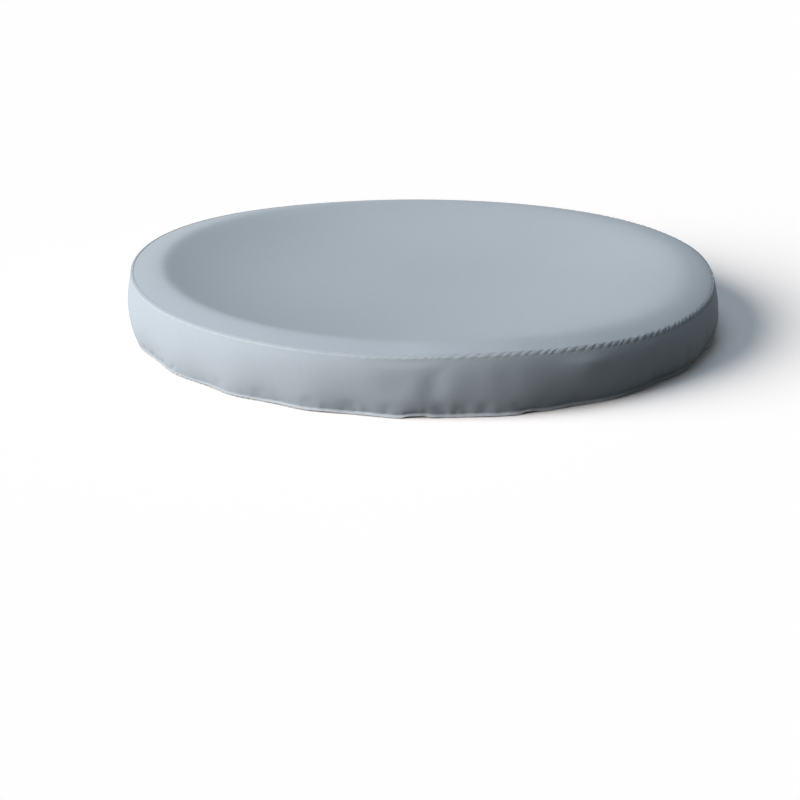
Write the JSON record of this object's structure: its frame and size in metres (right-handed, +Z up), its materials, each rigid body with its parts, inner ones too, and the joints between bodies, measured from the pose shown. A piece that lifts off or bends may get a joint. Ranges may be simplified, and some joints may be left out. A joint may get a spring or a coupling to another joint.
{
  "type": "spa cover",
  "caption": "Round fitted spa cover: a dished coated-cloth top sewn to a gathered skirt that an elastic hem draws in under the spa's lip.",
  "frame": {"origin": "under the middle of the cover, on the surface that it stands on", "axes": "+Z up, -Y the front of the cover as pictured, +X its right side"},
  "size_m": [2.3094, 2.3076, 0.2392],
  "materials": {
    "coated_cloth": "coated woven polyester, light blue-grey, low sheen",
    "thread": "bonded polyester thread, pale grey",
    "seam_tape": "heat-sealed waterproof tape, grey",
    "elastic": "flat braided elastic, off-white"
  },
  "bodies": {
    "root": {"top_panel": "coated_cloth", "skirt_front_panel": "coated_cloth", "skirt_back_panel": "coated_cloth", "rim_seam_tape": "seam_tape", "left_seam_tape": "seam_tape", "right_seam_tape": "seam_tape", "rim_stitch_upper": "thread", "rim_stitch_lower": "thread", "left_seam_stitch_front": "thread", "left_seam_stitch_back": "thread", "right_seam_stitch_front": "thread", "right_seam_stitch_back": "thread", "hem_stitch": "thread", "hem_elastic": "elastic"}
  },
  "joints": []
}
